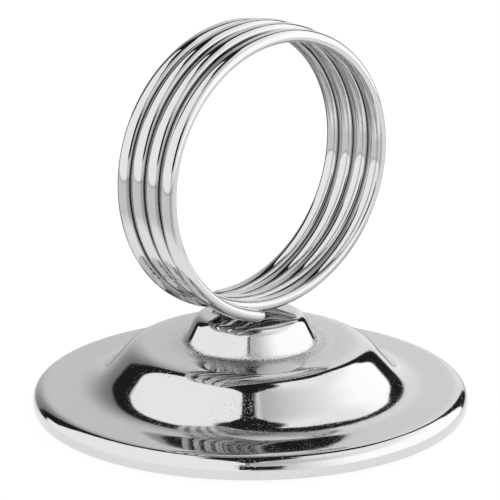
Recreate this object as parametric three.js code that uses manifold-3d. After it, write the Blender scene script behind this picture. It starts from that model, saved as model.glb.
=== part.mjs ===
// Table number holder: a coil of flattened wire, brazed to a boss on a round weighted foot.
// Millimetres, +Z up, origin under the middle of the foot, coil axis along Y, front towards -Y.
import * as THREE from "three";
import { mergeVertices } from "three/addons/utils/BufferGeometryUtils.js";
import Module from "manifold-3d";

const wasm = await Module();
wasm.setup();

// ---- Driving dimensions -------------------------------------------------------------------

// Foot
const FOOT_RADIUS = 19.05;
const FOOT_ROUNDNESS = 48; // sides of every round piece
const PAD_PROUD = 0.3; // the felt stands this far below the shell's edge
const SHELL_WALL = 0.8;
const LIP_THICKNESS = 0.7;
const LIP_INNER_RADIUS = 16.9;
const LIP_TIP_ROUND = 0.2;
const EDGE_HEIGHT = 2.0; // of the rolled edge, above the shell's lowest point
const EDGE_ROLL_RADIUS = 1.2;
const EDGE_FOOT_ROUND = 0.35;
const BRIM_INNER = [13.6, 2.1]; // radius and height where the brim meets the dome's flank
const BRIM_ROUND = 4.0;
const SHOULDER = [10.15, 5.9]; // radius and height where the flank meets the crown
const SHOULDER_ROUND = 3.0;
const FLANK_ANGLE = Math.atan2(SHOULDER[1] - BRIM_INNER[1], BRIM_INNER[0] - SHOULDER[0]);
const FLANK_INSET = SHELL_WALL * Math.tan(FLANK_ANGLE / 2); // keeps the wall even round its corners
const CROWN_HEIGHT = 5.95;
const CROWN_FLAT_RADIUS = 8.2;

// Boss
const BOSS_FOOT_RADIUS = 7.9;
const BOSS_FOOT_EDGE = 0.04; // the thin edge of the flared foot
const BOSS_WALL_FOOT = [5.8, 6.07];
const BOSS_FLARE_ROUND = 0.55;
const BOSS_WALL_TOP = [4.6, 8.45];
const BOSS_TOP_ROUND = 1.15;
const BOSS_APEX = 8.7;
const SPIGOT_RADIUS = 2.6;
const SPIGOT_HOLE_RADIUS = 2.75;
const RIVET_HEAD_RADIUS = 3.5;
const RIVET_HEAD_THICKNESS = 0.7;
const RIVET_HEAD_ROUND = 0.3;

// Inside the shell
const PLATE_RADIUS = 17.8;
const PLATE_THICKNESS = 0.4;
const PAD_MARGIN = 0.4; // between the felt and the lip
const BALLAST_RADIUS = 12.6;
const BALLAST_SKIRT = 0.8; // height of its upright edge
const BALLAST_SHOULDER = [10.0, 4.55];
const BALLAST_TOP_RADIUS = 9.6;
const BALLAST_TOP = 4.85;
const POCKET_RADIUS = 3.9;
const POCKET_DEPTH = 0.85;

// Coil. Heights are of the wire's centreline over the shell's lowest point. The coil is wound
// and brazed by hand, so no two passes of its bottom or top stand at quite the same height.
const TURNS = 4;
const COIL_RADIUS = 12.34; // of the wire's centreline, sideways
const COIL_OFFSET = 0.28; // the ring stands this far to the right of the foot's middle
const COIL_FORWARD = 0.18; // and this far in front of it
const PITCH = 1.89;
const BOTTOM_HEIGHTS = [9.3, 9.5, 9.9, 9.95, 9.55]; // from the rear free end to the front one
const TOP_HEIGHTS = [33.5, 33.8, 33.8, 33.6]; // from the rear turn to the front one
const REAR_END_OVERRUN = 2; // degrees that the rear free end runs past the bottom
const FRONT_END_SHORTFALL = 15; // degrees that the front free end stops before the bottom
const WIRE_HALF_WIDTH = 0.73; // the wire's section, along the coil's axis
const WIRE_OUTWARD = 0.7; // its round outer face, over the centreline
const WIRE_INWARD = 0.46; // its flatter inner face
const WIRE_SIDES = 12;
const STEPS_PER_TURN = 48;
const CUT_GAP = 0.06; // between one turn and the next
const TIP_LENGTH = 1.1; // of a free end's rounded tip
const TIP_INSET = 0.005; // keeps a free end's rounded tip just inside the wire's faces

// Braze
const BRAZE_HALF_WIDTH = 2.2;
const BRAZE_HALF_DEPTH = 1.9;
const BRAZE_RISE = 0.75;
const BRAZE_BACK = 0.87;
const BRAZE_GAP = 0.06; // left free around the wires and over the boss
const BRAZED_FROM = -1.35; // turns from the middle of the coil
const BRAZED_TO = 0.35;
const BRAZE_SIDES = 24;

const MERGE_DISTANCE = 1e-4; // corners closer than this are one corner

// ---- Helpers ------------------------------------------------------------------------------

// A closed outline with rounded corners. A corner is [x, y, radius of the round].
function roundedOutline(corners, stepsPerRound = 3) {
  const points = [];
  corners.forEach(([x, y, radius = 0], i) => {
    const here = new THREE.Vector2(x, y);
    if (!radius) {
      points.push(here);
      return;
    }
    const before = corners[(i + corners.length - 1) % corners.length];
    const after = corners[(i + 1) % corners.length];
    const back = new THREE.Vector2(before[0], before[1]).sub(here).normalize();
    const ahead = new THREE.Vector2(after[0], after[1]).sub(here).normalize();
    const halfAngle = Math.acos(THREE.MathUtils.clamp(back.dot(ahead), -1, 1)) / 2;
    const tangentLength = radius / Math.tan(halfAngle);
    const centre = back.clone().add(ahead).normalize();
    centre.multiplyScalar(radius / Math.sin(halfAngle)).add(here);
    const start = back.multiplyScalar(tangentLength).add(here).sub(centre);
    const end = ahead.multiplyScalar(tangentLength).add(here).sub(centre);
    const sweep = Math.atan2(start.cross(end), start.dot(end));
    for (let k = 0; k <= stepsPerRound; k++) {
      const spoke = start.clone().rotateAround(new THREE.Vector2(), (sweep * k) / stepsPerRound);
      points.push(spoke.add(centre));
    }
  });
  return points;
}

// A ring or disc turned about the upright axis from an outline of [radius, height] corners,
// listed anticlockwise.
function turned(corners) {
  const points = roundedOutline(corners);
  const closesOnAxis = points[0].x === 0 && points[points.length - 1].x === 0;
  if (!closesOnAxis) points.push(points[0].clone());
  return new THREE.LatheGeometry(points, FOOT_ROUNDNESS).rotateX(Math.PI / 2);
}

function solid(geometry) {
  const bare = new THREE.BufferGeometry().setIndex(geometry.index);
  bare.setAttribute("position", geometry.getAttribute("position"));
  const merged = mergeVertices(bare, MERGE_DISTANCE);
  const mesh = new wasm.Mesh({
    numProp: 3,
    vertProperties: new Float32Array(merged.getAttribute("position").array),
    triVerts: new Uint32Array(merged.index.array),
  });
  return new wasm.Manifold(mesh);
}

function geometryOf(manifold) {
  const mesh = manifold.getMesh();
  const geometry = new THREE.BufferGeometry();
  geometry.setAttribute("position", new THREE.BufferAttribute(mesh.vertProperties, 3));
  geometry.setIndex(new THREE.BufferAttribute(mesh.triVerts, 1));
  geometry.computeVertexNormals();
  return geometry;
}

function material(color, roughness, metalness) {
  return new THREE.MeshStandardMaterial({ color, roughness, metalness });
}

function piece(name, geometry, look) {
  const mesh = new THREE.Mesh(geometry, look);
  mesh.name = name;
  return mesh;
}

// ---- Materials ----------------------------------------------------------------------------

const chrome = material(0xd5d6d8, 0.06, 1);
const brazeMetal = material(0xbdbec0, 0.32, 1);
const castIron = material(0x4a4a4c, 0.75, 0.8);
const zincedSteel = material(0xa9adb2, 0.4, 1);
const felt = material(0x26262a, 0.95, 0);

// ---- Foot ---------------------------------------------------------------------------------

// The pressed shell: a rolled edge whose lip is curled inwards, a brim, a dome and a flat crown.
function baseShell() {
  return turned([
    [LIP_INNER_RADIUS, 0, LIP_TIP_ROUND],
    [FOOT_RADIUS, 0, EDGE_FOOT_ROUND],
    [FOOT_RADIUS, EDGE_HEIGHT, EDGE_ROLL_RADIUS],
    [...BRIM_INNER, BRIM_ROUND],
    [...SHOULDER, SHOULDER_ROUND],
    [CROWN_FLAT_RADIUS, CROWN_HEIGHT],
    [SPIGOT_HOLE_RADIUS, CROWN_HEIGHT],
    [SPIGOT_HOLE_RADIUS, CROWN_HEIGHT - SHELL_WALL],
    [CROWN_FLAT_RADIUS, CROWN_HEIGHT - SHELL_WALL],
    [SHOULDER[0] - FLANK_INSET, SHOULDER[1] - SHELL_WALL, SHOULDER_ROUND - SHELL_WALL],
    [BRIM_INNER[0] - FLANK_INSET, BRIM_INNER[1] - SHELL_WALL, BRIM_ROUND + SHELL_WALL],
    [FOOT_RADIUS - SHELL_WALL, EDGE_HEIGHT - SHELL_WALL, EDGE_FOOT_ROUND],
    [FOOT_RADIUS - SHELL_WALL, LIP_THICKNESS],
    [LIP_INNER_RADIUS, LIP_THICKNESS],
  ]);
}

// The disc that closes the shell from below. It lies on the curled lip.
function bottomPlate() {
  const top = LIP_THICKNESS + PLATE_THICKNESS;
  return turned([
    [0, LIP_THICKNESS],
    [PLATE_RADIUS, LIP_THICKNESS],
    [PLATE_RADIUS, top],
    [0, top],
  ]);
}

// The felt disc, glued to the plate inside the lip.
function footPad() {
  const radius = LIP_INNER_RADIUS - PAD_MARGIN;
  return turned([
    [0, -PAD_PROUD],
    [radius, -PAD_PROUD],
    [radius, LIP_THICKNESS],
    [0, LIP_THICKNESS],
  ]);
}

// The cast weight that fills the dome, with a pocket in its top for the boss's rivet head.
function ballast() {
  const floor = LIP_THICKNESS + PLATE_THICKNESS;
  return turned([
    [0, floor],
    [BALLAST_RADIUS, floor],
    [BALLAST_RADIUS, floor + BALLAST_SKIRT],
    BALLAST_SHOULDER,
    [BALLAST_TOP_RADIUS, BALLAST_TOP],
    [POCKET_RADIUS, BALLAST_TOP],
    [POCKET_RADIUS, BALLAST_TOP - POCKET_DEPTH],
    [0, BALLAST_TOP - POCKET_DEPTH],
  ]);
}

// The turned boss: a flared foot, a tapered wall, a low domed top, and a spigot riveted over
// inside the shell.
function ringBoss() {
  const crownUnderside = CROWN_HEIGHT - SHELL_WALL;
  return turned([
    [0, crownUnderside - RIVET_HEAD_THICKNESS],
    [RIVET_HEAD_RADIUS, crownUnderside - RIVET_HEAD_THICKNESS, RIVET_HEAD_ROUND],
    [RIVET_HEAD_RADIUS, crownUnderside],
    [SPIGOT_RADIUS, crownUnderside],
    [SPIGOT_RADIUS, CROWN_HEIGHT],
    [BOSS_FOOT_RADIUS, CROWN_HEIGHT],
    [BOSS_FOOT_RADIUS, CROWN_HEIGHT + BOSS_FOOT_EDGE],
    [...BOSS_WALL_FOOT, BOSS_FLARE_ROUND],
    [...BOSS_WALL_TOP, BOSS_TOP_ROUND],
    [0, BOSS_APEX],
  ]);
}

// ---- Coil ---------------------------------------------------------------------------------

// A height that passes smoothly from one of a list to the next, level at each.
function blendedHeight(heights, place) {
  const at = THREE.MathUtils.clamp(place, 0, heights.length - 1);
  const i = Math.min(Math.floor(at), heights.length - 2);
  const share = (1 - Math.cos(Math.PI * (at - i))) / 2;
  return THREE.MathUtils.lerp(heights[i], heights[i + 1], share);
}

// A point on the wire's centreline. s counts turns from the middle of the coil, so a whole
// number is a place where the wire passes the bottom of the ring.
function coilPoint(s) {
  const fromRear = s + TURNS / 2;
  const angle = 2 * Math.PI * fromRear;
  const lift = (1 - Math.cos(angle)) / 2; // 0 at the ring's bottom, 1 at its top
  const bottom = blendedHeight(BOTTOM_HEIGHTS, fromRear);
  const top = blendedHeight(TOP_HEIGHTS, fromRear - 0.5);
  const x = COIL_OFFSET + COIL_RADIUS * Math.sin(angle);
  const y = -COIL_FORWARD - s * PITCH;
  return new THREE.Vector3(x, y, PAD_PROUD + THREE.MathUtils.lerp(bottom, top, lift));
}

// A stretch of the coil, with the wire's broad faces always inwards and outwards.
class CoilStretch extends THREE.Curve {
  constructor(start, end) {
    super();
    this.start = start;
    this.end = end;
  }

  getPoint(t) {
    return coilPoint(THREE.MathUtils.lerp(this.start, this.end, t));
  }

  computeFrenetFrames(segments) {
    const frames = { tangents: [], normals: [], binormals: [] };
    for (let i = 0; i <= segments; i++) {
      const tangent = this.getTangentAt(i / segments);
      const deep = new THREE.Vector3(0, -1, 0);
      deep.addScaledVector(tangent, -deep.dot(tangent)).normalize();
      frames.tangents.push(tangent);
      frames.binormals.push(deep);
      frames.normals.push(new THREE.Vector3().crossVectors(deep, tangent));
    }
    return frames;
  }
}

// How far the wire reaches from its centreline across the ring, on the side that x points to.
function reachAcross(x) {
  return x > 0 ? WIRE_INWARD : WIRE_OUTWARD;
}

// The wire's section, with x pointing into the ring and y towards the front.
function wireSection(margin = 0) {
  const points = [];
  for (let k = 0; k < WIRE_SIDES; k++) {
    const angle = (2 * Math.PI * k) / WIRE_SIDES;
    const x = Math.cos(angle) * (reachAcross(Math.cos(angle)) + margin);
    points.push(new THREE.Vector2(x, Math.sin(angle) * (WIRE_HALF_WIDTH + margin)));
  }
  return new THREE.Shape(points);
}

// The rounded tip of a free end.
function roundTip(path, t) {
  const [tangent, normal, binormal] = ["tangents", "normals", "binormals"].map(
    (kind) => path.computeFrenetFrames(1)[kind][t],
  );
  const tip = new THREE.SphereGeometry(1, WIRE_SIDES, WIRE_SIDES / 2);
  tip.scale(1, WIRE_HALF_WIDTH - TIP_INSET, TIP_LENGTH);
  const corners = tip.getAttribute("position");
  for (let i = 0; i < corners.count; i++) {
    const x = corners.getX(i);
    corners.setX(i, x * (reachAcross(x) - TIP_INSET));
  }
  tip.applyMatrix4(new THREE.Matrix4().makeBasis(normal, binormal, tangent));
  const place = path.getPointAt(t);
  return tip.translate(place.x, place.y, place.z);
}

// One turn, from one pass of the bottom to the next.
function ringTurn(index) {
  const halfGap = CUT_GAP / 2 / (2 * Math.PI * COIL_RADIUS);
  const isRear = index === 0;
  const isFront = index === TURNS - 1;
  const start = index - TURNS / 2 + (isRear ? -REAR_END_OVERRUN / 360 : halfGap);
  const end = index + 1 - TURNS / 2 + (isFront ? -FRONT_END_SHORTFALL / 360 : -halfGap);
  const path = new CoilStretch(start, end);
  const wire = new THREE.ExtrudeGeometry(wireSection(), {
    steps: STEPS_PER_TURN,
    extrudePath: path,
    curveSegments: 1,
  });
  if (isRear) return geometryOf(solid(wire).add(solid(roundTip(path, 0))));
  if (isFront) return geometryOf(solid(wire).add(solid(roundTip(path, 1))));
  return wire;
}

// The filler metal between the boss's top and the wires that pass over it.
function ringBraze() {
  const mound = new THREE.SphereGeometry(1, BRAZE_SIDES, BRAZE_SIDES / 2);
  mound.scale(BRAZE_HALF_WIDTH, BRAZE_HALF_DEPTH, BRAZE_RISE);
  mound.translate(0, BRAZE_BACK, PAD_PROUD + BOSS_APEX);
  const channels = new THREE.ExtrudeGeometry(wireSection(BRAZE_GAP), {
    steps: Math.round(STEPS_PER_TURN * (BRAZED_TO - BRAZED_FROM)),
    extrudePath: new CoilStretch(BRAZED_FROM, BRAZED_TO),
    curveSegments: 1,
  });
  const bossBelow = ringBoss().translate(0, 0, PAD_PROUD + BRAZE_GAP);
  return geometryOf(solid(mound).subtract(solid(bossBelow)).subtract(solid(channels)));
}

// ---- Assembly -----------------------------------------------------------------------------

const foot = new THREE.Group();
foot.position.z = PAD_PROUD;
foot.add(
  piece("base_shell", baseShell(), chrome),
  piece("bottom_plate", bottomPlate(), zincedSteel),
  piece("foot_pad", footPad(), felt),
  piece("ballast", ballast(), castIron),
  piece("ring_boss", ringBoss(), chrome),
);

const coil = new THREE.Group();
for (let i = 0; i < TURNS; i++) coil.add(piece(`ring_turn_${i + 1}`, ringTurn(i), chrome));
coil.add(piece("ring_braze", ringBraze(), brazeMetal));

const holder = new THREE.Group();
holder.add(foot, coil);
export default holder;
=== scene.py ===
"""Table number holder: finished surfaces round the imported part, in a pale studio.

Row frame: metres, +Z up, origin under the middle of the foot, coil axis along Y, front
towards -Y. Outlines and the coil's law are written in millimetres and scaled once.
"""

import math

import bpy
import numpy as np
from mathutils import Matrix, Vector


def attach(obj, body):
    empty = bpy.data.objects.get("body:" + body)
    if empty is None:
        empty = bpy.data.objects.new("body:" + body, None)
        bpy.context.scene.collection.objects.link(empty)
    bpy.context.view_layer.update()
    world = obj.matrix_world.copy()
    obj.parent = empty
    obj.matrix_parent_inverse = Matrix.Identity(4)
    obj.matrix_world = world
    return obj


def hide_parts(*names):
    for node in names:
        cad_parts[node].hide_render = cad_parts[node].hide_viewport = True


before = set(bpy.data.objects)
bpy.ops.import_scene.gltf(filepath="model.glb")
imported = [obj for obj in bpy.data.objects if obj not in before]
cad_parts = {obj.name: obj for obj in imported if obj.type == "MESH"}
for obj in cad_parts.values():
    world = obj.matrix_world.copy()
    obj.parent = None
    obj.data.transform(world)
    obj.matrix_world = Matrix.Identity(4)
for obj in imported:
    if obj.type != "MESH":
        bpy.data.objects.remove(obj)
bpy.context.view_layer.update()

MM = 0.001

# ---- Foot (mm; heights over the shell's lowest point) -------------------------------------
PAD_PROUD = 0.3
FOOT_RADIUS = 19.05
EDGE_HEIGHT = 2.0
LIP_INNER_RADIUS = 16.9
LIP_THICKNESS = 0.7
SHELL_WALL = 0.8
BRIM_INNER = (13.6, 2.1)
BRIM_ROUND = 4.0
SHOULDER = (10.15, 5.9)
SHOULDER_ROUND = 3.0
CROWN_HEIGHT = 5.95
CROWN_FLAT_RADIUS = 8.2
SPIGOT_RADIUS = 2.6
SPIGOT_HOLE_RADIUS = 2.75
RIVET_RADIUS = 3.5
RIVET_HEIGHT = 0.7
BOSS_FOOT_RADIUS = 7.9
BOSS_FOOT_EDGE = 0.004
BOSS_WALL_FOOT = (5.8, 6.07)
BOSS_FLARE_ROUND = 0.55
BOSS_WALL_TOP = (4.6, 8.45)
BOSS_TOP_ROUND = 1.15
BOSS_APEX = 8.7
PLATE_THICKNESS = 0.4
PLATE_RADIUS = 17.8
BALLAST_RADIUS = 12.6
BALLAST_TOP = 4.85
BALLAST_RECESS = (3.9, 4.0)
PAD_INSET = 0.4  # from the shell's curled lip to the felt's rim
ROUND_STEPS = 240  # sides of every round piece

# ---- Coil (mm) ----------------------------------------------------------------------------
TURNS = 4
COIL_RADIUS = 12.34
COIL_OFFSET = 0.28
COIL_FORWARD = 0.18
PITCH = 1.89
BOTTOM_HEIGHTS = (9.3, 9.5, 9.9, 9.95, 9.55)
TOP_HEIGHTS = (33.5, 33.8, 33.8, 33.6)
REAR_END_OVERRUN = 2 / 360
FRONT_END_SHORTFALL = 15 / 360
WIRE_HALF_WIDTH = 0.73
WIRE_OUTWARD = 0.7
WIRE_INWARD = 0.46
TIP_LENGTH = 1.1
WIRE_SIDES = 40
STEPS_PER_TURN = 220

# ---- Camera -------------------------------------------------------------------------------
CAMERA_TURN = math.radians(41.34)  # to the left of the front
CAMERA_TILT = math.radians(17.32)
CAMERA_DISTANCE = 324.5 * MM
CAMERA_AIM = Vector((-0.02, 0.02, 14.53)) * MM
CAMERA_LENS = 269.7


# ---- Mesh helpers -------------------------------------------------------------------------


def rounded(corners, steps=14):
    """A polyline through corners (x, y) or (x, y, radius), each radius turned into an arc."""
    points = []
    for i, corner in enumerate(corners):
        here = np.array(corner[:2], float)
        radius = corner[2] if len(corner) > 2 else 0
        if not radius:
            points.append(here)
            continue
        back = np.array(corners[i - 1][:2]) - here
        ahead = np.array(corners[(i + 1) % len(corners)][:2]) - here
        back /= np.linalg.norm(back)
        ahead /= np.linalg.norm(ahead)
        half = math.acos(np.clip(back @ ahead, -1, 1)) / 2
        middle = back + ahead
        centre = here + middle / np.linalg.norm(middle) * radius / math.sin(half)
        start = here + back * radius / math.tan(half) - centre
        end = here + ahead * radius / math.tan(half) - centre
        sweep = math.atan2(start[0] * end[1] - start[1] * end[0], start @ end)
        for k in range(steps + 1):
            c, s = math.cos(sweep * k / steps), math.sin(sweep * k / steps)
            spoke = np.array((start[0] * c - start[1] * s, start[0] * s + start[1] * c))
            points.append(centre + spoke)
    return np.array(points)


def spaced(points, step, blur=0.0):
    """The polyline with points every step, its curvature eased over a length of blur."""
    fine = step / 4
    gaps = np.linalg.norm(np.diff(points, axis=0), axis=1)
    place = np.concatenate(([0], np.cumsum(gaps)))
    count = max(2, int(round(place[-1] / fine)))
    at = np.linspace(0, place[-1], count + 1)
    line = np.stack([np.interp(at, place, points[:, k]) for k in (0, 1)], 1)
    if blur:
        reach = int(3 * blur / fine)
        weights = np.exp(-0.5 * (np.arange(-reach, reach + 1) * fine / blur) ** 2)
        weights /= weights.sum()
        before = 2 * line[0] - line[reach:0:-1]
        after = 2 * line[-1] - line[-2 : -reach - 2 : -1]
        padded = np.concatenate((before, line, after))
        line = np.stack([np.convolve(padded[:, k], weights, "valid") for k in (0, 1)], 1)
    return line[np.unique(np.append(np.arange(0, count + 1, 4), count))]


def new_piece(name, vertices, faces, material, body, replaced):
    """A smooth mesh in metres that rides on a CAD body and stands for a CAD node."""
    mesh = bpy.data.meshes.new(name)
    mesh.from_pydata([tuple(v) for v in vertices], [], faces)
    mesh.validate()
    mesh.shade_smooth()
    mesh.set_sharp_from_angle(angle=math.radians(40))
    mesh.materials.append(material)
    piece = bpy.data.objects.new(name, mesh)
    bpy.context.scene.collection.objects.link(piece)
    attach(piece, body)
    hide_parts(replaced)
    return piece


def turned(outline, sides=ROUND_STEPS):
    """Vertices and faces of an outline of (radius, height), anticlockwise, turned about Z.

    Heights are over the shell's lowest point, which stands PAD_PROUD over the table. An
    outline whose ends are both on the axis closes there; any other closes on itself."""
    on_axis = outline[0][0] < 1e-9
    ring = outline[1:-1] if on_axis else outline
    angles = np.linspace(0, 2 * math.pi, sides, endpoint=False)
    x = np.outer(ring[:, 0], np.cos(angles))
    y = np.outer(ring[:, 0], np.sin(angles))
    z = np.repeat(ring[:, 1:2] + PAD_PROUD, sides, 1)
    vertices = np.stack((x, y, z), -1).reshape(-1, 3)
    count = len(ring)
    faces = []
    for i in range(count - 1 if on_axis else count):
        j = (i + 1) % count
        for k in range(sides):
            n = (k + 1) % sides
            faces.append((i * sides + k, i * sides + n, j * sides + n, j * sides + k))
    if on_axis:
        ends = np.array([[0, 0, outline[i][1] + PAD_PROUD] for i in (0, -1)])
        first, last = len(vertices), len(vertices) + 1
        vertices = np.concatenate((vertices, ends))
        top = (count - 1) * sides
        for k in range(sides):
            n = (k + 1) % sides
            faces.append((first, n, k))
            faces.append((last, top + k, top + n))
    return vertices * MM, faces


# ---- Node helpers -------------------------------------------------------------------------


class Value:
    """A number in a node tree that is added, multiplied and bent like a plain one."""

    def __init__(self, tree, source):
        self.tree = tree
        self.source = source

    def math(self, operation, *others):
        """A math node on this and others, which are Values or numbers."""
        node = self.tree.nodes.new("ShaderNodeMath")
        node.operation = operation
        for socket, given in zip(node.inputs, (self, *others)):
            if isinstance(given, Value):
                self.tree.links.new(given.source, socket)
            else:
                socket.default_value = given
        return Value(self.tree, node.outputs[0])

    def __add__(self, other):
        return self.math("ADD", other)

    def __sub__(self, other):
        return self.math("SUBTRACT", other)

    def __mul__(self, other):
        return self.math("MULTIPLY", other)

    def __truediv__(self, other):
        return self.math("DIVIDE", other)

    def __pow__(self, other):
        return self.math("POWER", other)

    __radd__ = __add__

    def __rsub__(self, other):
        return self * -1 + other

    def step(self, low, high):
        """0 below low, 1 above high and smooth between; low above high falls instead."""
        node = self.tree.nodes.new("ShaderNodeMapRange")
        node.interpolation_type = "SMOOTHSTEP"
        self.tree.links.new(self.source, node.inputs["Value"])
        node.inputs["From Min"].default_value = low
        node.inputs["From Max"].default_value = high
        return Value(self.tree, node.outputs["Result"])

    def either(self, other):
        """The larger of two masks."""
        return self.math("MAXIMUM", other)

    def mix(self, low, high):
        """low where this is 0, high where it is 1."""
        return self * (high - low) + low


def node(tree, kind, operation=None, **inputs):
    """A new node with some inputs set: a Value or a socket is linked, the rest are defaults."""
    made = tree.nodes.new(kind)
    if operation:
        made.operation = operation
    for name, given in inputs.items():
        socket = made.inputs[name.replace("_", " ")]
        if isinstance(given, Value):
            given = given.source
        if isinstance(given, bpy.types.NodeSocket):
            tree.links.new(given, socket)
        else:
            socket.default_value = given
    return made


def fresh_tree(owner):
    """The owner's node tree, emptied."""
    owner.use_nodes = True
    owner.node_tree.nodes.clear()
    return owner.node_tree


# Painted shade: the share of the wire's tone left where shade is painted on it.
PAINTED_SHADE_TONE = 0.28


def metal(name, color, roughness, grain, dulled=0.8, painted_shade_attribute=None):
    """A metal whose micro-surface comes from grain(tree): height, bump distance and wear.

    Wear takes the roughness from its low to its high end and the colour down to dulled times
    itself. Painted shade: where the attribute named by the last argument is 1, only the painted
    shade tone set above is left of the colour."""
    material = bpy.data.materials.new(name)
    tree = fresh_tree(material)
    height, distance, wear = grain(tree)
    bump = node(tree, "ShaderNodeBump", Height=height, Distance=distance)
    shade = node(tree, "ShaderNodeMix")
    shade.data_type = "RGBA"
    tree.links.new(wear.source, shade.inputs["Factor"])
    shade.inputs[6].default_value = (*color, 1)
    shade.inputs[7].default_value = (*[c * dulled for c in color], 1)
    surface = node(tree, "ShaderNodeBsdfPrincipled", Metallic=1.0, Roughness=wear.mix(*roughness))
    tint = shade.outputs[2]
    # Painted shade darkens the colour where the named attribute is 1.
    if painted_shade_attribute:
        attribute = tree.nodes.new("ShaderNodeAttribute")
        attribute.attribute_name = painted_shade_attribute
        left = Value(tree, attribute.outputs["Fac"]).mix(1.0, PAINTED_SHADE_TONE)
        scaled = node(tree, "ShaderNodeVectorMath", "SCALE", Vector=tint, Scale=left)
        tint = scaled.outputs[0]
    tree.links.new(tint, surface.inputs["Base Color"])
    tree.links.new(bump.outputs[0], surface.inputs["Normal"])
    output = node(tree, "ShaderNodeOutputMaterial")
    tree.links.new(surface.outputs[0], output.inputs["Surface"])
    return material


def place_of(tree):
    """The point on the object, in metres."""
    return tree.nodes.new("ShaderNodeTexCoord").outputs["Object"]


def noise(tree, vector, scale, detail=2.0, roughness=0.5):
    """Cloudy noise round 0.5, with scale lumps to a metre."""
    made = node(tree, "ShaderNodeTexNoise", Vector=vector, Scale=scale, Detail=detail)
    made.inputs["Roughness"].default_value = roughness
    return Value(tree, made.outputs[0])


# ---- Materials ----------------------------------------------------------------------------


def ring_zone(radius, inner_start, inner_full, outer_full, outer_end):
    """A mask that is 1 between two radii in mm, with a soft edge on each side."""
    inner = radius.step(inner_start * MM, inner_full * MM)
    return inner * radius.step(outer_end * MM, outer_full * MM)


def plated_sheet(tree):
    """Fine pits and a soft orange peel under the chrome, with patches of worn specks.

    The polishing wheel missed the hollows at the foot of the boss and of the flank, and the
    solder round the boss is rough."""
    place = place_of(tree)
    pits = noise(tree, place, 9000, 1.5).step(0.62, 0.8)
    grain = noise(tree, place, 5200, 3.0, 0.6)
    peel = noise(tree, place, 260, 1.0)
    height = grain * 0.35 - pits * 1.0 + peel * 2.2
    split = node(tree, "ShaderNodeSeparateXYZ", Vector=place)
    x, y = [Value(tree, socket) for socket in split.outputs[:2]]
    radius = (x * x + y * y).math("SQRT")
    solder = ring_zone(radius, 5.4, 5.9, 6.4, 7.3)
    boss_hollow = ring_zone(radius, 5.5, 6.3, 7.4, 8.4)
    hollows = boss_hollow + ring_zone(radius, 13.0, 13.9, 14.2, 15.2) * 0.45
    sparkle = noise(tree, place, 7000, 2.0, 0.7).step(0.4, 0.75)
    haze = noise(tree, place, 420, 4.0, 0.65).step(0.45, 0.85) * 0.15
    patches = noise(tree, place, 330, 2.0).step(0.38, 0.62)
    specks = noise(tree, place, 5200, 2.0, 0.7).step(0.58, 0.66) * patches
    wear = haze + specks * 0.7 + hollows * (sparkle * 0.4 + 0.15)
    height = height - hollows * sparkle * 1.5 - solder * sparkle * 9
    return height, 1.8e-6, wear.math("MINIMUM", 1.0)


def drawn_wire(tree):
    """Die lines that run along the wire, with a few nicks."""
    attribute = tree.nodes.new("ShaderNodeAttribute")
    attribute.attribute_name = "wire_place"
    stretch = node(tree, "ShaderNodeVectorMath", "MULTIPLY", Vector=attribute.outputs["Vector"])
    stretch.inputs[1].default_value = (0.06, 1.0, 1.0)
    lines = noise(tree, stretch.outputs[0], 5200, 2.5, 0.6)
    nicks = noise(tree, place_of(tree), 4200, 2.0).step(0.68, 0.8)
    sway = noise(tree, place_of(tree), 170, 1.0)
    height = lines * 0.9 - nicks * 0.7 + sway * 3.0
    worn = noise(tree, stretch.outputs[0], 1500, 3.0, 0.6).step(0.5, 0.9)
    return height, 2.2e-6, worn


def grainy_braze(tree):
    """Filler metal that set in small lumps."""
    place = place_of(tree)
    lumps = noise(tree, place, 1700, 3.0, 0.6)
    return lumps, 2.5e-5, noise(tree, place, 900, 3.0).step(0.35, 0.75)


def sand_cast(tree):
    """The skin of a raw sand casting."""
    place = place_of(tree)
    grains = noise(tree, place, 2400, 6.0, 0.7)
    return grains, 1.2e-4, noise(tree, place, 500, 4.0).step(0.3, 0.7)


def zinc_spangle(tree):
    """The crystal pattern of zinc-dipped sheet."""
    place = place_of(tree)
    cells = node(tree, "ShaderNodeTexVoronoi", Vector=place, Scale=420.0)
    spangle = Value(tree, cells.outputs["Distance"])
    return spangle + noise(tree, place, 6000, 3.0) * 0.2, 2e-5, spangle.step(0.2, 0.7)


def pressed_felt(name):
    """Black felt with pale fibres and uneven tufts."""
    material = bpy.data.materials.new(name)
    tree = fresh_tree(material)
    place = place_of(tree)
    fibres = noise(tree, place, 3800, 6.0, 0.75)
    tufts = noise(tree, place, 700, 3.0)
    shade = node(tree, "ShaderNodeValToRGB", Fac=fibres * 0.7 + tufts * 0.3)
    shade.color_ramp.elements[0].color = (0.008, 0.008, 0.010, 1)
    shade.color_ramp.elements[1].color = (0.055, 0.055, 0.062, 1)
    bump = node(tree, "ShaderNodeBump", Height=fibres, Distance=1.5e-4)
    surface = node(tree, "ShaderNodeBsdfPrincipled", Roughness=0.95, Sheen_Weight=0.5)
    tree.links.new(shade.outputs[0], surface.inputs["Base Color"])
    tree.links.new(bump.outputs[0], surface.inputs["Normal"])
    output = node(tree, "ShaderNodeOutputMaterial")
    tree.links.new(surface.outputs[0], output.inputs["Surface"])
    return material


# Darker than real chrome, so that what is mirrored twice turns dark. The studio is brighter by
# as much, so a single reflection comes out right.
CHROME = (0.615, 0.615, 0.62)
CHROME_FOOT = metal("chrome_foot", CHROME, (0.04, 0.42), plated_sheet, 0.9)
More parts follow.
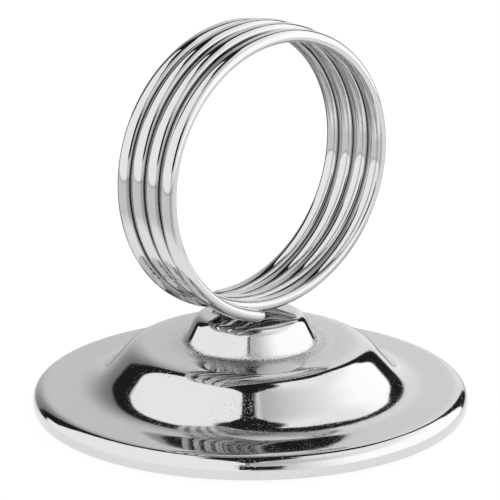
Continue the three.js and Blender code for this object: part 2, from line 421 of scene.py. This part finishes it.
# The wire gets painted shade between its turns and on its underside over the boss.
CHROME_WIRE = metal("chrome_wire", CHROME, (0.05, 0.09), drawn_wire, 0.96, "wire_painted_shade")
BRAZE_METAL = metal("braze_metal", (0.72, 0.72, 0.73), (0.28, 0.5), grainy_braze)
CAST_IRON = metal("cast_ballast", (0.16, 0.16, 0.17), (0.65, 0.9), sand_cast)
ZINCED_STEEL = metal("zinced_steel", (0.62, 0.64, 0.66), (0.3, 0.5), zinc_spangle)
PAD_FELT = pressed_felt("pad_felt")


# ---- Foot ---------------------------------------------------------------------------------


def base_shell():
    """The pressed shell: rolled edge with its lip curled in, brim, flank and crown."""
    flank_angle = math.atan2(SHOULDER[1] - BRIM_INNER[1], BRIM_INNER[0] - SHOULDER[0])
    flank_inset = SHELL_WALL * math.tan(flank_angle / 2)
    outside = [
        (SPIGOT_HOLE_RADIUS, CROWN_HEIGHT - SHELL_WALL),
        (SPIGOT_HOLE_RADIUS, CROWN_HEIGHT),
        (CROWN_FLAT_RADIUS, CROWN_HEIGHT),
        (*SHOULDER, SHOULDER_ROUND),
        (*BRIM_INNER, BRIM_ROUND),
        (FOOT_RADIUS, EDGE_HEIGHT, 1.2),
        (FOOT_RADIUS, 0, 0.35),
        (LIP_INNER_RADIUS, 0, 0.2),
        (LIP_INNER_RADIUS, LIP_THICKNESS),
    ]
    inside = [
        (LIP_INNER_RADIUS, LIP_THICKNESS),
        (FOOT_RADIUS - SHELL_WALL, LIP_THICKNESS),
        (FOOT_RADIUS - SHELL_WALL, EDGE_HEIGHT - SHELL_WALL, 0.35),
        (BRIM_INNER[0] - flank_inset, BRIM_INNER[1] - SHELL_WALL, BRIM_ROUND + SHELL_WALL),
        (SHOULDER[0] - flank_inset, SHOULDER[1] - SHELL_WALL, SHOULDER_ROUND - SHELL_WALL),
        (CROWN_FLAT_RADIUS, CROWN_HEIGHT - SHELL_WALL),
        (SPIGOT_HOLE_RADIUS, CROWN_HEIGHT - SHELL_WALL),
    ]
    skin = rounded(outside)
    top = spaced(skin[1:-2], 0.12, 0.2)
    hidden = spaced(rounded(inside, 5), 0.6)
    outline = np.concatenate((skin[:1], top, skin[-2:], hidden[1:-1]))
    vertices, faces = turned(outline[::-1])
    name = "shell_skin"
    return new_piece(name, vertices, faces, CHROME_FOOT, "root", "base_shell")


def ring_boss():
    """The turned boss, from its riveted spigot to its low domed top."""
    under = CROWN_HEIGHT - SHELL_WALL
    hidden = [
        (0, under - RIVET_HEIGHT),
        (RIVET_RADIUS, under - RIVET_HEIGHT, 0.3),
        (RIVET_RADIUS, under),
        (SPIGOT_RADIUS, under),
        (SPIGOT_RADIUS, CROWN_HEIGHT),
        (BOSS_FOOT_RADIUS, CROWN_HEIGHT),
    ]
    shown = [
        (BOSS_FOOT_RADIUS, CROWN_HEIGHT),
        (BOSS_FOOT_RADIUS, CROWN_HEIGHT + BOSS_FOOT_EDGE),
        (7.3, CROWN_HEIGHT + 0.012, 4.0),  # the flare runs out thin over the crown
        (*BOSS_WALL_FOOT, BOSS_FLARE_ROUND),
        (*BOSS_WALL_TOP, BOSS_TOP_ROUND),
        (2.4, 8.62, 6.0),  # the low dome
        (0, BOSS_APEX),
    ]
    skin = spaced(rounded(shown)[1:], 0.08, 0.08)
    outline = np.concatenate((rounded(hidden, 6), skin))
    outline[-1][0] = 0
    vertices, faces = turned(outline)
    return new_piece("boss_skin", vertices, faces, CHROME_FOOT, "root", "ring_boss")


def bottom_plate():
    """The thin steel disc that the curled lip holds."""
    top = LIP_THICKNESS + PLATE_THICKNESS
    corners = [
        (0, LIP_THICKNESS),
        (PLATE_RADIUS, LIP_THICKNESS, 0.1),
        (PLATE_RADIUS, top, 0.1),
        (0, top),
    ]
    vertices, faces = turned(rounded(corners, 4), sides=120)
    name = "plate_skin"
    return new_piece(name, vertices, faces, ZINCED_STEEL, "root", "bottom_plate")


def ballast():
    """The cast weight, with a recess that clears the boss's rivet."""
    floor = LIP_THICKNESS + PLATE_THICKNESS
    corners = [
        (0, floor),
        (BALLAST_RADIUS, floor, 0.2),
        (BALLAST_RADIUS, floor + 0.8, 0.25),
        (10.0, BALLAST_TOP - 0.3, 0.3),
        (9.6, BALLAST_TOP, 0.15),
        (BALLAST_RECESS[0], BALLAST_TOP, 0.2),
        (*BALLAST_RECESS, 0.2),
        (0, BALLAST_RECESS[1]),
    ]
    vertices, faces = turned(rounded(corners, 4), sides=120)
    return new_piece("ballast_skin", vertices, faces, CAST_IRON, "root", "ballast")


def foot_pad():
    """The felt disc, with a soft rounded lower edge and an uneven, fuzzy rim."""
    radius = LIP_INNER_RADIUS - PAD_INSET
    corners = [
        (0, -PAD_PROUD),
        (radius, -PAD_PROUD, 0.35),
        (radius, LIP_THICKNESS),
        (0, LIP_THICKNESS),
    ]
    outline = spaced(rounded(corners, 8), 0.2)
    outline[[0, -1], 0] = 0
    vertices, faces = turned(outline)
    angle = np.arctan2(vertices[:, 1], vertices[:, 0])
    distance = np.hypot(vertices[:, 0], vertices[:, 1])
    fuzz = sum(np.sin(n * angle + n * n) / n for n in (5, 9, 14, 23, 37, 58, 83)) * 0.12 * MM
    share = np.clip((distance / MM - radius + 1.0), 0, 1) ** 2
    vertices[:, :2] *= (1 - np.abs(fuzz) * share / np.maximum(distance, 1e-9))[:, None]
    return new_piece("pad_skin", vertices, faces, PAD_FELT, "root", "foot_pad")


# ---- Coil ---------------------------------------------------------------------------------


def blended_height(heights, place):
    """Passes smoothly from one of a list of heights to the next, level at each."""
    at = np.clip(place, 0, len(heights) - 1)
    i = np.minimum(np.floor(at).astype(int), len(heights) - 2)
    share = (1 - np.cos(math.pi * (at - i))) / 2
    heights = np.array(heights)
    return heights[i] * (1 - share) + heights[i + 1] * share


def coil_point(s):
    """The wire's centreline; s counts turns from the middle of the coil."""
    from_rear = s + TURNS / 2
    angle = 2 * math.pi * from_rear
    lift = (1 - np.cos(angle)) / 2
    bottom = blended_height(BOTTOM_HEIGHTS, from_rear)
    top = blended_height(TOP_HEIGHTS, from_rear - 0.5)
    x = COIL_OFFSET + COIL_RADIUS * np.sin(angle)
    y = -COIL_FORWARD - s * PITCH
    return np.stack((x, y, PAD_PROUD + bottom * (1 - lift) + top * lift), -1)


def wire_frames(s):
    """Centre, direction, ring-inward and front-facing axes of the wire at each s."""
    small = 1e-4
    centre = coil_point(s)
    tangent = coil_point(s + small) - coil_point(s - small)
    tangent /= np.linalg.norm(tangent, axis=1)[:, None]
    deep = np.array((0, -1, 0)) - tangent * -tangent[:, 1:2]
    deep /= np.linalg.norm(deep, axis=1)[:, None]
    return centre, tangent, np.cross(deep, tangent), deep


def smooth(value, low, high):
    """0 below low, 1 above high and smooth between."""
    share = np.clip((value - low) / (high - low), 0, 1)
    return share * share * (3 - 2 * share)


def painted_wire_shade(s, across, deep):
    """How much painted shade lies on a point of the wire: deep between two turns, and on the
    underside at the bottom of each turn, over the boss.

    In the wire's section across points to the ring's middle and deep to the front, in mm."""
    run_out = 0.04  # turns over which a crevice opens beside a free end
    has_front = smooth(-FRONT_END_SHORTFALL + TURNS / 2 - (s + 1), 0, run_out)
    has_rear = smooth(s - 1 + TURNS / 2 + REAR_END_OVERRUN, 0, run_out)
    beside = np.where(deep > 0, has_front, has_rear)
    # Painted shade deep between two turns, opening beside the free ends.
    between = beside * smooth(np.abs(deep), 0.88 * WIRE_HALF_WIDTH, WIRE_HALF_WIDTH)
    from_bottom = np.abs(s - np.round(s))
    # Painted shade on the underside, near the bottom of each turn.
    underneath = smooth(-across, 0.1 * WIRE_OUTWARD, 0.8 * WIRE_OUTWARD)
    shaded_underside = underneath * (1 - smooth(from_bottom, 0.03, 0.12))
    return np.maximum(between, shaded_underside * 0.9)


def wire(start, end, tip_at_start=False, tip_at_end=False):
    """Vertices, faces, wire coordinates and painted shade of a stretch of wire, ends flat or round.
    """
    count = int(round((end - start) * STEPS_PER_TURN)) + 1
    s = np.linspace(start, end, count)
    centre, tangent, inward, deep = wire_frames(s)
    size = np.ones(count)
    along = s * 2 * math.pi * COIL_RADIUS
    angles = np.linspace(0, 2 * math.pi, WIRE_SIDES, endpoint=False)

    def tip(index, direction):
        bulge = np.radians((15, 30, 45, 58, 70, 80, 87))
        push = np.sin(bulge) * TIP_LENGTH * direction
        centres = centre[index] + np.outer(push, tangent[index])
        axes = (tangent, inward, deep)
        same = [np.repeat(a[index : index + 1 or None], len(bulge), 0) for a in axes]
        return centres, *same, np.cos(bulge), along[index] + push

    rows = [centre, tangent, inward, deep, size, along]
    if tip_at_end:
        rows = [np.concatenate((a, b)) for a, b in zip(rows, tip(-1, 1))]
    if tip_at_start:
        rows = [np.concatenate((b[::-1], a)) for a, b in zip(rows, tip(0, -1))]
    centre, tangent, inward, deep, size, along = rows
    across = np.cos(angles) * np.where(np.cos(angles) > 0, WIRE_INWARD, WIRE_OUTWARD)
    ring = inward[:, None] * across[None, :, None]
    ring = ring + deep[:, None] * (np.sin(angles) * WIRE_HALF_WIDTH)[None, :, None]
    vertices = centre[:, None] + ring * size[:, None, None]
    place = np.zeros_like(vertices)
    place[..., 0] = along[:, None]
    place[..., 1] = across
    place[..., 2] = np.sin(angles) * WIRE_HALF_WIDTH
    rings = len(vertices)
    faces = []
    for i in range(rings - 1):
        for k in range(WIRE_SIDES):
            n = (k + 1) % WIRE_SIDES
            a, b = i * WIRE_SIDES, (i + 1) * WIRE_SIDES
            faces.append((a + k, a + n, b + n, b + k))
    faces.append(tuple(range(WIRE_SIDES))[::-1])
    faces.append(tuple((rings - 1) * WIRE_SIDES + k for k in range(WIRE_SIDES)))
    shade = painted_wire_shade(along[:, None] / (2 * math.pi * COIL_RADIUS), place[..., 1], place[..., 2])
    return vertices.reshape(-1, 3) * MM, faces, place.reshape(-1, 3) * MM, shade.ravel()


def ring_turn(index, body):
    """One turn of the coil, with what its material needs to know about each point."""
    is_rear, is_front = index == 0, index == TURNS - 1
    start = index - TURNS / 2 - (REAR_END_OVERRUN if is_rear else 0)
    end = index + 1 - TURNS / 2 - (FRONT_END_SHORTFALL if is_front else 0)
    vertices, faces, place, shade = wire(start, end, is_rear, is_front)
    name, replaced = f"wire_turn_{index + 1}", f"ring_turn_{index + 1}"
    piece = new_piece(name, vertices, faces, CHROME_WIRE, body, replaced)
    attribute = piece.data.attributes.new("wire_place", "FLOAT_VECTOR", "POINT")
    attribute.data.foreach_set("vector", place.astype(np.float32).ravel())
    # The wire's painted shade, read by its material.
    attribute = piece.data.attributes.new("wire_painted_shade", "FLOAT", "POINT")
    attribute.data.foreach_set("value", shade.astype(np.float32))
    return piece


# ---- Build --------------------------------------------------------------------------------

base_shell()
ring_boss()
bottom_plate()
ballast()
foot_pad()
for i, body in enumerate(("rear_turn", "root", "third_turn", "front_turn")):
    ring_turn(i, body)
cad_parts["ring_braze"].data.materials.clear()
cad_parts["ring_braze"].data.materials.append(BRAZE_METAL)


# ---- Studio -------------------------------------------------------------------------------


def studio_light(tree):
    """What the metal sees: two tall diffusers with dark gaps, and a grey backdrop.

    turn is the angle to the right of the camera and rise the height over the horizon, in
    degrees, as seen from the holder."""
    direction = tree.nodes.new("ShaderNodeTexCoord").outputs["Generated"]
    spin = node(tree, "ShaderNodeVectorRotate", Vector=direction, Angle=CAMERA_TURN)
    spin.rotation_type = "Z_AXIS"
    split = node(tree, "ShaderNodeSeparateXYZ", Vector=spin.outputs[0])
    x, y, z = [Value(tree, socket) for socket in split.outputs]
    degree = 180 / math.pi
    turn = x.math("ARCTAN2", y * -1) * degree
    rise = z.math("ARCSINE") * degree
    aside = x.math("ARCSINE") * degree  # from the upright plane through the camera
    right = x.step(-0.001, 0.001)
    behind = 180 - turn.math("ABSOLUTE")

    # Two diffusers: the left one even, the right one brighter to the side and lower down.
    right_low = turn.step(2, 62).mix(0.46, 0.97)
    right_high = turn.step(0, 105).mix(0.40, 0.77)
    edge = aside.step(3.2, 4.2) * aside.step(7.0, 4.6) * rise.step(58, 64)
    right_tone = rise.step(32, 52).mix(right_low, right_high) + edge * 0.2
    diffusers = right.mix(0.78, right_tone)

    # They end in a dark band, which frames the backdrop behind the holder.
    dark = 0.011
    left_end = 50 + rise.step(7, 17) * 9 - rise.step(26, 62) * 20
    right_end = 37 - rise.step(26, 34) * 5 + rise.step(45, 62) * 10
    lit = (behind - right.mix(left_end, right_end)).step(-1.5, 1.5)
    span = right.mix(39 - rise.step(26, 55) * 15, 22.5)
    band = (behind / span) ** 4 + (rise.math("MAXIMUM", 0.0) / 60) ** 4
    left_backdrop = behind.step(3, 37).mix(0.48, 0.165)
    right_backdrop = behind.step(0, 14).mix(0.54, 0.64)
    backdrop = right.mix(left_backdrop, right_backdrop) * rise.step(40, 64).mix(1.0, 0.55)
    tone = lit.mix(dark, diffusers)
    tone = band.step(0.75, 1.2).mix(backdrop, tone)

    # In front they leave an upright gap that widens overhead. The camera and its stand are
    # below it.
    front = y.step(0.1, -0.1)
    gap_width = rise.step(56, 66).mix(1.0, 3.9) + rise.step(67, 78) * 5
    gap = ((aside + 1.1 - rise.step(66, 76)).math("ABSOLUTE") - gap_width).step(0.5, -0.5)
    gap = gap * rise.step(27, 31) * rise.step(56, 63).mix(0.85, 1.0)
    camera = aside.step(-6.5, -5) * aside.step(19, 14) * rise.step(2, 5) * rise.step(33, 27)
    narrowing = rise.step(26, 33) * 9
    stand = aside.step(-6, -4.5) * (aside + narrowing).step(10, 7)
    stand = stand * rise.step(25, 27) * rise.step(46, 38)
    tone = (gap.either(camera).either(stand * 0.8) * front).mix(tone, dark)
    tone = rise.step(75, 79).mix(tone, dark)

    # The table's far edge, a little under the horizon, and the darker room below it.
    table = rise.step(-7.6, -8.6)
    edge_line = rise.step(-9.0, -8.4) * rise.step(-6.4, -7.2)
    tone = tone * table.mix(1.0, 0.68)
    return edge_line.mix(tone, tone * 0.62) * (1 / CHROME[0])


def make_world():
    """The camera sees plain white behind the object; everything else sees the studio."""
    world = bpy.data.worlds.new("studio")
    bpy.context.scene.world = world
    tree = fresh_tree(world)
    seen = tree.nodes.new("ShaderNodeLightPath").outputs["Is Camera Ray"]
    tone = Value(tree, seen).mix(studio_light(tree), 1.0)
    background = node(tree, "ShaderNodeBackground", Color=(1, 1, 1, 1), Strength=tone)
    output = node(tree, "ShaderNodeOutputWorld")
    tree.links.new(background.outputs[0], output.inputs["Surface"])


def make_floor():
    """A pale floor, evenly bright to the camera. The metal sees only a sheet of it near the foot,
    which glows there as painted light, bright on the camera's side.
    """
    reach = 1.5
    corners = [(-reach, -reach, 0), (reach, -reach, 0), (reach, reach, 0), (-reach, reach, 0)]
    mesh = bpy.data.meshes.new("floor")
    mesh.from_pydata(corners, [], [(0, 1, 2, 3)])
    material = bpy.data.materials.new("floor")
    tree = fresh_tree(material)
    place = node(tree, "ShaderNodeVectorMath", "LENGTH", Vector=place_of(tree))
    far = Value(tree, place.outputs["Value"]).step(32 * MM, 50 * MM)
    split = node(tree, "ShaderNodeSeparateXYZ", Vector=place_of(tree))
    x, y = [Value(tree, socket) for socket in split.outputs[:2]]
    towards_camera = x * -math.sin(CAMERA_TURN) - y * math.cos(CAMERA_TURN)
    # Painted light: the floor glows for the metal, brighter towards the camera.
    mirrored = towards_camera.step(-25 * MM, 5 * MM).mix(0.15, 1.3)
    seen = Value(tree, tree.nodes.new("ShaderNodeLightPath").outputs["Is Camera Ray"])
    diffuse = node(tree, "ShaderNodeBsdfDiffuse", Color=(0.9, 0.9, 0.9, 1))
    strength = seen.mix(mirrored, 1.06)
    glow = node(tree, "ShaderNodeEmission", Color=(1, 1, 1, 1), Strength=strength)
    lit = node(tree, "ShaderNodeMixShader", Fac=seen.mix(0.7, 0.85))
    tree.links.new(diffuse.outputs[0], lit.inputs[1])
    tree.links.new(glow.outputs[0], lit.inputs[2])
    clear = tree.nodes.new("ShaderNodeBsdfTransparent")
    blend = node(tree, "ShaderNodeMixShader", Fac=far * (1 - seen))
    tree.links.new(lit.outputs[0], blend.inputs[1])
    tree.links.new(clear.outputs[0], blend.inputs[2])
    output = node(tree, "ShaderNodeOutputMaterial")
    tree.links.new(blend.outputs[0], output.inputs["Surface"])
    mesh.materials.append(material)
    floor = bpy.data.objects.new("floor", mesh)
    bpy.context.scene.collection.objects.link(floor)


def make_camera():
    """A long lens from the left front, a little above."""
    camera = bpy.data.objects.new("camera", bpy.data.cameras.new("camera"))
    bpy.context.scene.collection.objects.link(camera)
    camera.data.lens = CAMERA_LENS
    camera.data.sensor_width = 36
    camera.data.clip_start, camera.data.clip_end = 0.01, 10
    turn, tilt = CAMERA_TURN, CAMERA_TILT
    level = math.cos(tilt)
    back = Vector((-math.sin(turn) * level, -math.cos(turn) * level, math.sin(tilt)))
    camera.location = CAMERA_AIM + back * CAMERA_DISTANCE
    camera.rotation_mode = "QUATERNION"
    camera.rotation_quaternion = (-back).to_track_quat("-Z", "Y")
    bpy.context.scene.camera = camera


make_world()
make_floor()
make_camera()
bpy.context.scene.view_settings.view_transform = "Standard"
